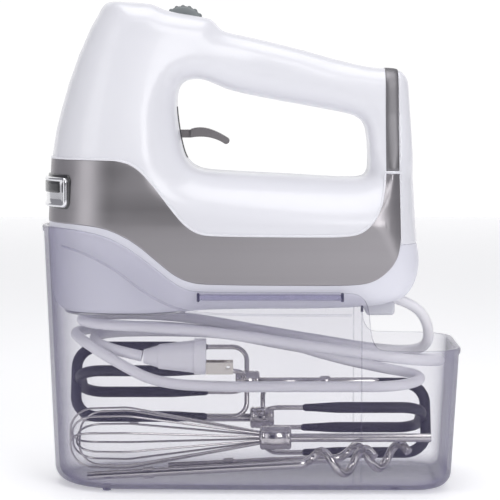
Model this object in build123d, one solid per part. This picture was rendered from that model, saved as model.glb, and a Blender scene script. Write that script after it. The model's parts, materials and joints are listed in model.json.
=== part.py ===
from build123d import *
import math
import os

os.makedirs("parts", exist_ok=True)

# Frame: +X runs from the nose to the heel of the mixer, +Y to its far side, +Z up from the
# feet of the storage case. All sizes are in millimetres.

# ---------------------------------------------------------------- driving dimensions
WALL = 2.5                     # every moulded wall
CASE_FLOOR = 1.0               # underside of the case, above its feet
CASE_TOP = 158.0               # front rim of the case
REAR_RIM = 85.6                # low rear rim of the case
SIDE_RIM = 120.7               # rim under the straight part of the steel band

BAND = 1.2                     # steel band thickness
SPINDLE_X = -76.0
SPINDLE_Y = 18.0
SPINDLE_BOTTOM = 103.6
SPINDLE_TOP = 176.0
SPINDLE_R = 5.0
SOCKET_R = 2.65                # bore that takes a beater shaft
SOCKET_TOP = 150.0             # above it the bore is wider, for the ejector's pins
PIN_BORE_R = 3.1
SHAFT_Z = 143.0                # armature axis
WORM_R = 4.5
MESH_GAP = 0.3                 # between worm and wheel, in place of real tooth contact

DIAL_X, DIAL_Z, DIAL_R = -40.4, 277.2, 12.8
PIVOT_X, PIVOT_Z = -52.0, 213.0   # eject trigger

ROD_R = 2.6                    # stored tool shafts
LOOP_R = 22.5                  # beater wire, from its axis
LOOP_WIRE = 1.5
RUBBER_R = 3.3
CORD_D = 6.5


# ---------------------------------------------------------------- helpers
def plan(circles, height):
    """A level outline round three circles a side: nose and middle on the centre line, then the rear."""
    nose, middle, rear = [(Vector(x, y), r) for x, y, r in circles]
    joints = []
    for (c1, r1), (c2, r2) in ((nose, middle), (middle, rear)):
        step = c2 - c1
        lean = math.atan2(step.Y, step.X) + math.acos((r1 - r2) / step.length)
        joints.append(lean)

    def on(circle, angle):
        centre, r = circle
        return centre.X + r * math.cos(angle), centre.Y + r * math.sin(angle)

    def mirrored(point):
        return point[0], -point[1]

    first, second = joints
    upper = [on(nose, first), on(middle, first), on(middle, second), on(rear, second), on(rear, 0)]
    edges = [ThreePointArc(mirrored(upper[0]), on(nose, math.pi), upper[0])]
    arc_tops = {1: on(middle, (first + second) / 2), 3: on(rear, second / 2)}
    for flip in (False, True):
        for k in range(4):
            ends = [upper[k], upper[k + 1]]
            middle_point = arc_tops.get(k)
            if flip:
                ends = [mirrored(p) for p in ends]
                middle_point = middle_point and mirrored(middle_point)
            edges.append(ThreePointArc(ends[0], middle_point, ends[1]) if middle_point else Line(*ends))
    edges.append(Line(upper[4], mirrored(upper[4])))
    return Plane.XY.offset(height) * make_face(edges)


def tower(sections, inset):
    """A solid through level outlines, all of them moved inward by the inset."""
    faces = [plan([(x, y, r - inset) for x, y, r in rings], z) for z, rings in sections]
    return loft(faces, ruled=True)


def side_prism(face, half_width=80):
    """A shape drawn in X and Z, made solid across the full width."""
    return extrude(Plane.XZ * face, half_width, both=True)


def area(points):
    return make_face(Polyline(*points, close=True))


def box(low, high):
    size = [b - a for a, b in zip(low, high)]
    middle = [(a + b) / 2 for a, b in zip(low, high)]
    return Pos(*middle) * Box(*size)


def rod(start, end, radius):
    """A round bar from one point to another."""
    line = Vector(*end) - Vector(*start)
    return extrude(Plane(origin=start, z_dir=line) * Circle(radius), line.length)


def tube(points, bends, radius):
    """Straight runs joined by tangent arcs."""
    path = FilletPolyline(*points, radius=bends)
    return sweep(Plane(origin=path @ 0, z_dir=path % 0) * Circle(radius), path=path)


def fuse(shapes):
    first, *rest = shapes
    return first.fuse(*rest) if rest else first


def save(name, *shapes):
    solids = [s for shape in shapes for s in shape.solids()]
    export_step(Compound(children=solids), f"parts/{name}.step")


# ---------------------------------------------------------------- storage case
CASE_PLAN = [
    (CASE_FLOOR, [(-73.5, 0, 46), (-10, 0, 48.5), (97, 25.5, 24)]),
    (CASE_TOP, [(-77, 0, 49), (-10, 0, 51), (106.2, 27.5, 24)]),
]
BOTTOM_BEND = 9
FOOT_R = 2.5


def tub(inset, floor):
    (low, low_rings), (high, high_rings) = CASE_PLAN
    body = tower([(low, low_rings), (high, high_rings)], inset)
    if floor > low:
        body = body & box((-200, -100, floor), (200, 100, 200))
    return fillet(body.edges().group_by(Axis.Z)[0], BOTTOM_BEND - inset)


def make_case():
    outer = tub(0, CASE_FLOOR)
    inner = tub(WALL, CASE_FLOOR + WALL)
    rim = Line((-140, CASE_TOP + 0.01), (-112, 157.8))
    dip = Spline((-112, 157.8), (-84, 153.3), (-56, 134.2), (-30, SIDE_RIM), tangents=[(1, 0), (1, 0)])
    straight = Line((-30, SIDE_RIM), (62, SIDE_RIM))
    drop = Spline((62, SIDE_RIM), (72.5, 104), (84, REAR_RIM), tangents=[(1, 0), (1, 0)])
    rest = Polyline((84, REAR_RIM), (150, REAR_RIM), (150, 220), (-140, 220), (-140, CASE_TOP + 0.01))
    above = side_prism(make_face([rim, dip, straight, drop, rest]))
    slot = box((-30.7, -80, 115.7), (54.6, 80, 118.7))
    case = outer - inner - above - slot
    save("storage_case", case)
    feet = [Pos(x, y, 0) * extrude(Circle(FOOT_R), CASE_FLOOR) for x in (-86, 87) for y in (-34, 34)]
    save("case_feet", *feet)


# ---------------------------------------------------------------- stored tools
def beater(name, axis_y, axis_z, collar, tip, shaft_end, roll):
    """One beater along X. collar and tip are places on X; roll turns the two crossing loops."""
    way = 1 if tip > collar else -1
    here = Pos(0, axis_y, axis_z) * Rot(X=roll)
    bend = 9
    corner = 13
    loops = []
    edges = []
    for turn, back in ((0, 0.0), (90, 2 * LOOP_WIRE + 0.3)):
        root = collar - way * (7 - back * 0.6)
        crown = tip - way * (RUBBER_R + back)
        points = [(root, 0, 4), (root, 0, LOOP_R), (crown, 0, LOOP_R), (crown, 0, -LOOP_R)]
        points += [(root, 0, -LOOP_R), (root, 0, -4)]
        loops.append(here * Rot(X=turn) * tube(points, [bend, corner, corner, bend], LOOP_WIRE))
        start = collar + way * 17
        line = [(start, 0, LOOP_R), (crown, 0, LOOP_R), (crown, 0, -LOOP_R), (start, 0, -LOOP_R)]
        edges.append(here * Rot(X=turn) * tube(line, [corner, corner], RUBBER_R))
    hub = rod((collar - way * 15, 0, 0), (collar, 0, 0), 6.8)
    stem = rod((collar - way * 15, 0, 0), (shaft_end, 0, 0), ROD_R)
    lug = rod((shaft_end - way * -30, 0, 0), (shaft_end - way * -36, 0, 0), 3.6)
    shaft = here * fuse([hub, stem, lug])
    wires = fuse(loops)
    save(f"{name}_shaft", shaft - wires)
    save(f"{name}_wires", wires)
    save(f"{name}_rubber", fuse(edges) - wires)


WHISK = (-19.0, 29.0)          # axis, Y and Z
WHISK_COLLAR = (6.0, 25.0)


def make_whisk():
    place = Pos(0, *WHISK)
    near, far = WHISK_COLLAR
    wire = 0.65
    head_x, head_r = -88.0, 18.6
    loops = []
    for k in range(5):
        tip = -109.0 + k * 2.2 * wire
        points = [(near + 6, 0, 2.6), (near - 4, 0, 4.4), (head_x + 14, 0, head_r), (tip, 0, head_r - 1)]
        points += [(x, 0, -z) for x, y, z in reversed(points)]
        bends = [20, 30, 14, 14, 30, 20]
        loops.append(place * Rot(X=36 * k) * tube(points, bends, wire))
    shaft = place * rod((far, 0, 0), (110, 0, 0), ROD_R)
    collar = place * rod((near, 0, 0), (far, 0, 0), 7.2)
    save("whisk_shaft", shaft)
    save("whisk_collar", collar - fuse(loops))
    save("whisk_wires", *loops)


def dough_hook(name, end, start, turns, spiral_r=7.4, rod_r=2.6):
    """A straight shaft from its end to the start of the spiral, then the spiral itself."""
    line = Vector(*start) - Vector(*end)
    place = Plane(origin=start, x_dir=(0, 1, 0), z_dir=line)
    pitch = 26.0
    step = 45
    points = [(0, 0, -40), (0, 0, 0)]
    for k in range(int(turns * 360 / step)):
        a = math.radians(20 + k * step)
        points.append((spiral_r * math.cos(a), spiral_r * math.sin(a), 7 + pitch * k * step / 360))
    bends = [5.0] + [7.0] * (len(points) - 3)
    hook = place * tube(points, bends, rod_r)
    stem = rod(end, tuple(place.from_local_coords(Vector(0, 0, -40))), rod_r)
    lug_a = Vector(*end) + line.normalized() * 34
    lug = rod(tuple(lug_a), tuple(lug_a + line.normalized() * 6), 3.6)
    save(name, fuse([hook, stem, lug]))


# ---------------------------------------------------------------- mixer shell
MIXER_PLAN = [
    (100, [(-77, 0, 43.2), (-10, 0, 46.8), (76, 18, 26)]),
    (125, [(-77, 0, 44.4), (-10, 0, 47.3), (76, 18, 26)]),
    (160, [(-77, 0, 45.6), (-10, 0, 47.8), (76, 18, 26)]),
    (192, [(-77, 0, 44.0), (-10, 0, 38.0), (76, 8, 20)]),
    (240, [(-76, 0, 34.0), (-10, 0, 28.5), (76, 5, 13)]),
    (300, [(-64, 0, 22.0), (-10, 0, 20.5), (76, 5, 12)]),
]
BAND_TOP = [(-130, 198.4), (-75.7, 198), (-62.5, 190.2), (-48.5, 172), (-39.1, 160.7), (-25.1, 153.7),
            (57.7, 153.2), (71.7, 160.7), (79.7, 180.3), (81, 190)]
BAND_LOW = [(-130, 160.7), (-96, 159.7), (-80, 156), (-67, 148.5), (-54, 137.3), (-43, 129),
            (-29.6, 125.1), (61.6, 124.3), (76.3, 128.3), (86.9, 140.3), (89.5, 148.4)]
BAND_END = 89.5
REAR_SEAM = 148.4


def side_outline():
    nose = Polyline((-122.6, 160.7), (-121, 187), (-117.7, 214.9), (-109.8, 243.6), (-103.5, 261),
                    (-96.4, 277.1), (-87.5, 293.3))
    crest = Polyline((-87.5, 293.3), (-61, 291.8), (-51.8, 286.9), (-24.4, 282.3), (-15.9, 274.3))
    grip = Polyline((-15.9, 274.3), (27.9, 264.6), (72.6, 252.5), (90.2, 252.4), (95.5, 245.5))
    back = Polyline((95.5, 245.5), (99.7, 148.4), (101.5, 139), (99.1, 127.1), (91.5, 115.1))
    under = Polyline((91.5, 115.1), (66, 110), (-36, 110), (-46, 105), (-104, 105), (-116, 109),
                     (-121.5, 124), (-122.6, 160.7))
    return make_face([nose, crest, grip, back, under])


def hand_hole(grow=0):
    corners = area([(-44.5, 247), (-19, 242.5), (67, 223.5), (72, 186.5), (-39, 191.6)])
    rounded = fillet(corners.vertices(), 8)
    return offset(rounded, grow) if grow else rounded


def envelope(inset):
    outline = offset(side_outline(), -inset, kind=Kind.INTERSECTION) if inset else side_outline()
    return (tower(MIXER_PLAN, inset) & side_prism(outline)) - side_prism(hand_hole(inset))


def strain_relief():
    axis = Plane(origin=(70, 0, 117.9), x_dir=(0, 1, 0), z_dir=(18, 0, -5.5))
    flange = axis * extrude(Circle(7), 3)
    taper = loft([axis * Circle(6), axis.offset(18.82) * Circle(4.4)])
    return flange + taper


SCREWS = [(x, y) for x in (-28, 58) for y in (-30, 30)]


def screw(x, y, seat):
    head = rod((x, y, seat), (x, y, seat + 1.6), 3.2)
    shank = rod((x, y, seat + 1.6), (x, y, seat + 16), 1.6)
    return head + shank


def make_shell():
    outer = envelope(0)
    skin = outer - envelope(BAND)
    shell = outer - envelope(WALL)
    base_zone = side_prism(area(BAND_LOW + [(120, REAR_SEAM), (120, 90), (-130, 90)]))
    rear_zone = box((BAND_END, -80, REAR_SEAM), (120, 80, 270))
    band_zone = side_prism(area(BAND_TOP + [(BAND_END, 190), *reversed(BAND_LOW)]))
    trim_zone = box((81.2, -80, 191.5), (BAND_END, 80, 270))
    badge_hole = arc_plate(40.6, 60, 41, 169, 189)

    screws = [screw(x, y, 110) for x, y in SCREWS]
    relief = strain_relief()
    cord_hole = rod((69, 0, 118.2), (92, 0, 111.2), CORD_D / 2 + 0.3)
    base = (shell & base_zone) - relief - cord_hole - fuse(screws)
    for side in (-1, 1):
        base -= rod((SPINDLE_X, side * SPINDLE_Y, 90), (SPINDLE_X, side * SPINDLE_Y, 130), SPINDLE_R + 0.6)
    save("base_housing", base)
    save("housing_screws", *screws)
    save("strain_relief", relief - rod((69, 0, 118.2), (88.1, 0, 112.4), CORD_D / 2 - 0.05))

    dial_gap = box((-54.4, -8.6, 270), (-26.4, 8.6, 300))
    trigger_gap = box((-50, -5, 199.5), (-34, 5, 228))
    bezel_cut = side_prism(area([(-45, 229.5), (-42.4, 229.5), (-36.8, 197.8), (-39.4, 197.8)]), 7)
    white = (shell - base_zone - rear_zone) - (skin & band_zone) - (skin & trim_zone)
    white = white - dial_gap - trigger_gap - bezel_cut - badge_hole
    near_half, far_half = (white - box((-200, y, 0), (200, y + 100, 400)) for y in (0, -100))
    save("housing_left", near_half)
    save("housing_right", far_half)
    save("steel_band", (skin & band_zone) - badge_hole)
    save("rear_cover", shell & rear_zone)
    save("rear_trim", skin & trim_zone)
    slit = box((-60, -3.6, 201), (-30, 3.6, 226))
    save("trigger_bezel", (bezel_cut - slit) & shell)
    pad = side_prism(area([(69.5, 104.5), (87, 104.5), (87, 116), (69.5, 116)]), 27)
    save("heel_pad", (pad - outer - relief - cord_hole).solids().sort_by(Axis.Z)[0])


def arc_plate(r_in, r_out, half_angle, low, high):
    """A curved plate wrapped round the nose."""
    ring = extrude(Circle(r_out) - Circle(r_in), high - low)
    wedge = extrude(area([(0, 0), (-90, 90 * math.tan(math.radians(half_angle))),
                          (-90, -90 * math.tan(math.radians(half_angle)))]), high - low)
    return Pos(-77, 0, low) * (ring & wedge)


def make_badge():
    bed = arc_plate(40.6, 43.0, 41, 169, 189)
    save("badge_surround", bed)
    frame = arc_plate(43.0, 47.6, 34, 170.3, 187.3)
    window = arc_plate(45.9, 50, 29, 179.2, 185.4)
    save("badge_frame", frame - window)
    save("badge_panel", arc_plate(45.9, 47.2, 29, 179.2, 185.4))


# ---------------------------------------------------------------- controls
def make_controls():
    wheel = extrude(Plane.XZ * Circle(DIAL_R), 8, both=True)
    ribs = [Rot(Y=20 * k) * box((DIAL_R - 0.5, -7.4, -0.9), (DIAL_R + 0.9, 7.4, 0.9)) for k in range(18)]
    bore = rod((0, -20, 0), (0, 20, 0), 2.05)
    dial = Pos(DIAL_X, 0, DIAL_Z) * (fuse([wheel, *ribs]) - bore)
    save("speed_dial", dial)
    save("dial_axle", rod((DIAL_X, -12, DIAL_Z), (DIAL_X, 12, DIAL_Z), 2.0))

    arm_top = Spline((-36, 215.8), (-30.5, 216.8), (-20.3, 214.3), (-13.6, 210.6))
    arm_end = ThreePointArc((-13.6, 210.6), (-12.6, 208.0), (-15.4, 206.9))
    arm_low = Spline((-15.4, 206.9), (-21.2, 209.8), (-30, 211.2), (-36, 210.6))
    arm = make_face([arm_top, arm_end, arm_low, Line((-36, 210.6), (-36, 215.8))])
    paddle = side_prism(arm, 5)
    stub = box((PIVOT_X - 3, -3, PIVOT_Z - 2.4), (-35.9, 3, PIVOT_Z + 2.4))
    hub = rod((PIVOT_X, -3, PIVOT_Z), (PIVOT_X, 3, PIVOT_Z), 5)
    tail = side_prism(area([(PIVOT_X, 217), (-74, 207.2), (-74, 203.4), (PIVOT_X, 209.5)]), 3)
    pin_hole = rod((PIVOT_X, -9, PIVOT_Z), (PIVOT_X, 9, PIVOT_Z), 2.05)
    save("eject_trigger", fuse([paddle, stub, hub, tail]) - pin_hole)
    save("trigger_pin", rod((PIVOT_X, -10, PIVOT_Z), (PIVOT_X, 10, PIVOT_Z), 2.0))

    bar = box((SPINDLE_X - 4, -SPINDLE_Y - 4, 198), (SPINDLE_X + 4, SPINDLE_Y + 4, 202.8))
    pins = [rod((SPINDLE_X, s * SPINDLE_Y, 158), (SPINDLE_X, s * SPINDLE_Y, 199), 2.3) for s in (-1, 1)]
    save("ejector_plate", fuse([bar, *pins]))


# ---------------------------------------------------------------- drive
def make_drive():
    def on_shaft(x0, x1, radius):
        return rod((x0, 0, SHAFT_Z), (x1, 0, SHAFT_Z), radius)

    shaft_r = 2.8
    save("armature_shaft", on_shaft(-98, 66, shaft_r))
    slots = [Pos(0, 0, SHAFT_Z) * Rot(X=30 * k) * box((-13, -1, 10), (27, 1, 16)) for k in range(12)]
    save("armature_core", on_shaft(-12, 26, 15) - on_shaft(-13, 27, shaft_r) - fuse(slots))
    bars = [Pos(0, 0, SHAFT_Z) * Rot(X=30 * k) * box((33, -0.3, 8.4), (45, 0.3, 10)) for k in range(12)]
    save("commutator", on_shaft(34, 44, 9.5) - on_shaft(33, 45, shaft_r) - fuse(bars))
    hub = on_shaft(-40, -30, 8)
    blades = [Pos(0, 0, SHAFT_Z) * Rot(X=40 * k) * Pos(-35, 0, 14.5) * Rot(Z=35) * Box(9, 1.4, 15)
              for k in range(9)]
    save("cooling_fan", fuse([hub, *blades]) - on_shaft(-50, -20, shaft_r))
    groove = [Pos(0, 0, SHAFT_Z) * Rot(Y=90) * Pos(0, 0, -89 + 3.4 * k) * Torus(WORM_R + 0.4, 1.0)
              for k in range(9)]
    save("drive_worm", on_shaft(-91, -61, WORM_R) - on_shaft(-92, -60, shaft_r) - fuse(groove))

    core = box((-14, -27, SHAFT_Z - 25), (28, 27, SHAFT_Z + 25))
    bore = on_shaft(-15, 29, 15.6)
    windows = [box((-15, s * 19 - 4, SHAFT_Z - 16), (29, s * 19 + 4, SHAFT_Z + 16)) for s in (-1, 1)]
    save("motor_stator", core - bore - fuse(windows))
    coils = [box((-20, s * 19.3 - 3.4, SHAFT_Z - 15.7), (34, s * 19.3 + 3.4, SHAFT_Z + 15.7)) for s in (-1, 1)]
    save("motor_coils", *[fillet(c.edges().filter_by(Axis.Z), 2.5) - on_shaft(-25, 40, 16) for c in coils])
    plate = box((60, -26, SHAFT_Z - 24), (65, 26, SHAFT_Z + 24)) - on_shaft(59, 67, 8)
    posts = [rod((28, y, SHAFT_Z + z), (60, y, SHAFT_Z + z), 2.5) for y in (-23, 23) for z in (-21, 21)]
    save("motor_bracket", fuse([plate, *posts]))
    rings = [on_shaft(x, x + 4.6, 8) - on_shaft(x - 1, x + 6, shaft_r + 0.05) for x in (-98, 60.2)]
    save("shaft_bearings", *rings)
    holders = []
    for s in (-1, 1):
        tube_box = box((35.5, s * 18.5 - 8, SHAFT_Z - 3.5), (42.5, s * 18.5 + 8, SHAFT_Z + 3.5))
        arm = box((42.5, s * 23.5 - 2.5, SHAFT_Z - 2.5), (60, s * 23.5 + 2.5, SHAFT_Z + 2.5))
        holders.append(tube_box + arm)
    save("brush_holders", *holders)

    teeth = 24
    wheel_r = SPINDLE_Y - WORM_R - MESH_GAP
    for name, side in (("left", -1), ("right", 1)):
        y = side * SPINDLE_Y
        spindle = rod((SPINDLE_X, y, SPINDLE_BOTTOM), (SPINDLE_X, y, SPINDLE_TOP), SPINDLE_R)
        spindle -= rod((SPINDLE_X, y, 90), (SPINDLE_X, y, SOCKET_TOP), SOCKET_R)
        spindle -= rod((SPINDLE_X, y, SOCKET_TOP), (SPINDLE_X, y, 190), PIN_BORE_R)
        save(f"spindle_{name}", spindle)
        gaps = [Rot(Z=360 / teeth * k) * box((wheel_r - 1.6, -0.8, -9), (wheel_r + 2, 0.8, 9))
                for k in range(teeth)]
        blank = rod((0, 0, -5), (0, 0, 5), wheel_r) - rod((0, 0, -6), (0, 0, 6), SPINDLE_R)
        save(f"worm_wheel_{name}", Pos(SPINDLE_X, y, SHAFT_Z) * (blank - fuse(gaps)))

    bush_bores = [rod((SPINDLE_X, s * SPINDLE_Y, 110), (SPINDLE_X, s * SPINDLE_Y, 190), 8) for s in (-1, 1)]
    lower = box((-99, -30, 121), (-53, 30, 125)) - fuse(bush_bores)
    pillars = [rod((x, y, 125), (x, y, 160), 3) for x in (-94, -58) for y in (-27, 27)]
    upright = box((-98.2, -10, 125), (-93.2, 10, SHAFT_Z + 10)) - on_shaft(-110, -80, 8)
    save("gearbox_lower_plate", fuse([lower, *pillars, upright]))
    save("gearbox_upper_plate", box((-99, -30, 160), (-53, 30, 164)) - fuse(bush_bores))
    bushes = []
    for z in (121, 159.5):
        for s in (-1, 1):
            ring = rod((SPINDLE_X, s * SPINDLE_Y, z), (SPINDLE_X, s * SPINDLE_Y, z + 5), 8)
            bushes.append(ring - rod((SPINDLE_X, s * SPINDLE_Y, 100), (SPINDLE_X, s * SPINDLE_Y, 180), 5.05))
    save("spindle_bushes", *bushes)


def make_electrics():
    save("circuit_board", box((-86, -15, 250.2), (-28, 15, 251.8)))
    case = box((-50, -8, 251.8), (-31, 8, 261.5))
    parts = [box((-80, -10, 251.8), (-68, 6, 262)), rod((-60, 5, 251.8), (-60, 5, 264), 4)]
    save("speed_switch", case)
    save("board_parts", *parts)
    clamp = box((65.3, -9, 113.5), (69.5, 9, 123)) - rod((64, 0, 119.7), (71, 0, 117.6), CORD_D / 2)
    save("cord_clamp", clamp - strain_relief())


# ---------------------------------------------------------------- cord
# The cord leaves the heel, drops into the open rear of the case and is folded left and right
# over the stored tools, ending in its plug on the near side.
CORD_ROUTE = [
    (88.0, 0, 112.4), (101.5, 0, 108.3), (109.5, 0, 96.5), (110, 7, 82.0), (98, 24, 76.5), (74, 33.5, 77.5),
    (52, 35, 81), (10, 33.5, 88), (-34, 35, 96), (-68, 33, 99), (-96, 24, 99.2), (-106, -2, 99.3),
    (-91, -26, 98.8), (-60, -30, 98), (-18, -26, 94), (26, -31, 88), (66, -28.5, 82), (96, -31, 78),
    (117, -12, 75), (115, 14, 73), (90, 30, 71.5), (58, 28.5, 73.5), (18, 32.5, 80), (-24, 34.5, 88),
    (-58, 34, 91.2), (-90, 27, 91.5), (-109, 4, 91.5), (-102, -23, 89.5), (-80, -32.5, 77), (-56, -31, 64),
    (-18, -28.5, 61.5), (24, -31, 62), (60, -28, 61.5), (87, -31, 62), (105, -12, 63), (103, 12, 64),
    (82, 23.5, 66), (50, 21, 73.5), (14, 22.5, 84.5), (-28, 21, 89), (-62, 10.5, 90.8), (-86, 6.5, 90.6),
    (-97, -8, 89.5), (-88, -24.5, 84.5), (-65, -27, 80),
]
PLUG_AXIS = (-27, 79.8)        # Y and Z


def bend_radii(route):
    """Each arc is as large as its two runs allow."""
    points = [Vector(*p) for p in route]
    radii = []
    for a, b, c in zip(points, points[1:], points[2:]):
        turn = math.radians((b - a).get_angle(c - b))
        radii.append(0.45 * min((b - a).length, (c - b).length) / math.tan(turn / 2))
    return radii


def make_cord():
    radii = bend_radii(CORD_ROUTE)
    path = FilletPolyline(*CORD_ROUTE, radius=radii)
    cord = sweep(Plane(origin=path @ 0, z_dir=path % 0) * Circle(CORD_D / 2), path=path)
    print("cord length", round(path.length), "least radius", round(min(radii), 1))
    print("radii", [round(r) for r in radii])
    print("tube volume", round(cord.volume), "section x length", round(math.pi * CORD_D ** 2 / 4 * path.length))
    save("power_cord", cord)

    place = Pos(0, *PLUG_AXIS)
    grip = loft([Plane.YZ.offset(-64) * Circle(4.2), Plane.YZ.offset(-55) * RectangleRounded(15, 13, 5)])
    body = loft([Plane.YZ.offset(-55) * RectangleRounded(17, 14, 5), Plane.YZ.offset(-33.5) * RectangleRounded(25, 18, 6)])
    flange = extrude(Plane.YZ.offset(-33.5) * RectangleRounded(27, 20, 7), 7)
    save("plug_body", place * fuse([grip, body, flange]))
    blades = [box((-26.5, y - 0.8, -10), (-10.2, y + 0.8, -3)) for y in (-6.35, 6.35)]
    holes = [rod((-13.2, y - 2, -6.5), (-13.2, y + 2, -6.5), 1.6) for y in (-6.35, 6.35)]
    save("plug_blades", *[place * (b - h) for b, h in zip(blades, holes)])


make_case()
beater("beater_left", 12.0, 59.0, -9.0, -111.0, 80.0, -25)
beater("beater_right", 21.0, 35.0, 15.0, 113.0, -106.0, -25)
make_whisk()
dough_hook("dough_hook_left", (-98, -29, 7.4), (32, -32.6, 15.4), 1.6)
dough_hook("dough_hook_right", (-50, -8.5, 9.5), (54, -11.5, 15.0), 1.6)
make_shell()
make_badge()
make_controls()
make_drive()
make_electrics()
make_cord()
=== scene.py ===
import json
import math

import bmesh
import bpy
import numpy as np
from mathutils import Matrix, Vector


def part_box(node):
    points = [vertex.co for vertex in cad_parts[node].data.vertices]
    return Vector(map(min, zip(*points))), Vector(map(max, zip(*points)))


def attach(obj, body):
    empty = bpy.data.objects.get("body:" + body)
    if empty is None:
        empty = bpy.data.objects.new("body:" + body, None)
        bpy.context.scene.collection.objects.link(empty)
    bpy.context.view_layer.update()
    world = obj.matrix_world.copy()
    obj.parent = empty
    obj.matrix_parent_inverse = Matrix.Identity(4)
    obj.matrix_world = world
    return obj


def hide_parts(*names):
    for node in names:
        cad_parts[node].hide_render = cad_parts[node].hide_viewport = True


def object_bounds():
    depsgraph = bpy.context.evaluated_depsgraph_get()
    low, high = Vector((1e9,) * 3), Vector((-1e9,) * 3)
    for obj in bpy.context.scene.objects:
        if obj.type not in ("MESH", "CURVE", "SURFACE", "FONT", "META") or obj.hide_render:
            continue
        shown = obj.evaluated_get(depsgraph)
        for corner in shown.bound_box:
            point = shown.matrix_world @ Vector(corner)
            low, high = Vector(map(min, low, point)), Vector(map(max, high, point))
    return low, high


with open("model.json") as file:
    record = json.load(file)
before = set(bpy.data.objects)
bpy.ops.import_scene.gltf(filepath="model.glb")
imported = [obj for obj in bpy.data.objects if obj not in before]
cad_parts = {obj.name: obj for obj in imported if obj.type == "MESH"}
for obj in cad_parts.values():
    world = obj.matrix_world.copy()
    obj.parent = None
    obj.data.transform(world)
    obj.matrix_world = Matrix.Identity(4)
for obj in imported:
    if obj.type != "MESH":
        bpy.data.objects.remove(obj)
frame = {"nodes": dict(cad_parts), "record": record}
cad_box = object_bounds()
MM = 0.001                     # shapes below are worked out in millimetres


def in_scene(name, data):
    made = bpy.data.objects.new(name, data)
    bpy.context.collection.objects.link(made)
    return made


# ------------------------ camera
# The whole set is seen square from its near side, from a little above the handle's middle.
VIEW_DISTANCE = 1.30
VIEW_TILT = math.radians(4.6)
low, high = (Vector(corner) for corner in cad_box)
look_at = Vector((0, 0, 0.4835 * high.z))
camera = in_scene("camera", bpy.data.cameras.new("camera"))
camera.data.sensor_width = 36
camera.data.lens = 153
camera.location = look_at + VIEW_DISTANCE * Vector((0, -math.cos(VIEW_TILT), math.sin(VIEW_TILT)))
camera.rotation_euler = (math.pi / 2 - VIEW_TILT, 0, 0)
bpy.context.scene.camera = camera


# ------------------------ shader maths
class Shade:
    """A shader socket that Python's own operators work on."""

    def __init__(self, tree, socket):
        self.tree, self.socket = tree, socket

    def math(self, operation, other):
        return node(self.tree, "ShaderNodeMath", {"operation": operation}, {0: self, 1: other})

    def into(self, shader, socket_name):
        self.tree.links.new(self.socket, shader.inputs[socket_name])

    def __add__(self, other):
        return self.math("ADD", other)

    def __mul__(self, other):
        return self.math("MULTIPLY", other)

    def __pow__(self, other):
        return self.math("POWER", other)


def node(tree, kind, settings, values, output=0):
    """A node of one kind, with its settings first and then its sockets' values or links."""
    made = tree.nodes.new(kind)
    for name, value in settings.items():
        setattr(made, name, value)
    for name, value in values.items():
        value = value.socket if isinstance(value, Shade) else value
        if isinstance(value, bpy.types.NodeSocket):
            tree.links.new(value, made.inputs[name])
        else:
            made.inputs[name].default_value = value
    return Shade(tree, made.outputs[output])


def material(name, colour, roughness, metallic=0.0, **constants):
    """A Principled material; the caller links what varies."""
    made = bpy.data.materials.new(name)
    made.use_nodes = True
    shader = made.node_tree.nodes["Principled BSDF"]
    shader.inputs["Base Color"].default_value = (*colour, 1)
    shader.inputs["Roughness"].default_value = roughness
    shader.inputs["Metallic"].default_value = metallic
    for socket, value in constants.items():
        shader.inputs[socket.replace("_", " ")].default_value = value
    return made, made.node_tree, shader


def place(tree, scale=(1, 1, 1)):
    """Object coordinates, stretched by the scale."""
    coords = node(tree, "ShaderNodeTexCoord", {}, {}, "Object")
    return node(tree, "ShaderNodeMapping", {}, {"Vector": coords, "Scale": scale})


def noise(tree, scale, size, detail=3.0):
    where = place(tree, size)
    return node(tree, "ShaderNodeTexNoise", {}, {"Vector": where, "Scale": scale, "Detail": detail})


def tint(tree, factor, dark, light):
    return node(tree, "ShaderNodeMix", {"data_type": "RGBA"},
                {"Factor": factor, "A": (*dark, 1), "B": (*light, 1)}, 2)


def bump(tree, shader, height, strength, distance):
    sockets = {"Height": height, "Strength": strength, "Distance": distance}
    node(tree, "ShaderNodeBump", {}, sockets).into(shader, "Normal")


def moulded(name, dark, light, roughness, grain=900.0, relief=0.06, coat=0.0):
    """Moulded plastic: a slight colour drift, a fine grain and uneven gloss."""
    made, tree, shader = material(name, light, roughness, Coat_Weight=coat, Coat_Roughness=0.12)
    drift = noise(tree, 9.0, (1, 1, 1), 2.0)
    fine = noise(tree, grain, (1, 1, 1), 2.0)
    tint(tree, drift, dark, light).into(shader, "Base Color")
    (fine * 0.08 + (roughness - 0.04)).into(shader, "Roughness")
    bump(tree, shader, fine, relief, 0.0002)
    return made


def brushed(name, dark, light, roughness, stretch):
    """Metal with fine brush lines along one way."""
    made, tree, shader = material(name, light, roughness, 1.0)
    lines = noise(tree, 60.0, stretch, 6.0)
    broad = noise(tree, 7.0, (1, 1, 0.3), 2.0)
    mixed = lines * 0.6 + broad * 0.4
    tint(tree, mixed, dark, light).into(shader, "Base Color")
    (lines * 0.22 + (roughness - 0.1)).into(shader, "Roughness")
    bump(tree, shader, lines, 0.10, 0.00015)
    return made


def polished(name, dark, light, roughness):
    made, tree, shader = material(name, light, roughness, 1.0)
    smear = noise(tree, 40.0, (0.3, 1, 1), 4.0)
    tint(tree, smear, dark, light).into(shader, "Base Color")
    (smear * 0.16 + (roughness - 0.06)).into(shader, "Roughness")
    bump(tree, shader, smear, 0.04, 0.0002)
    return made


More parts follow.
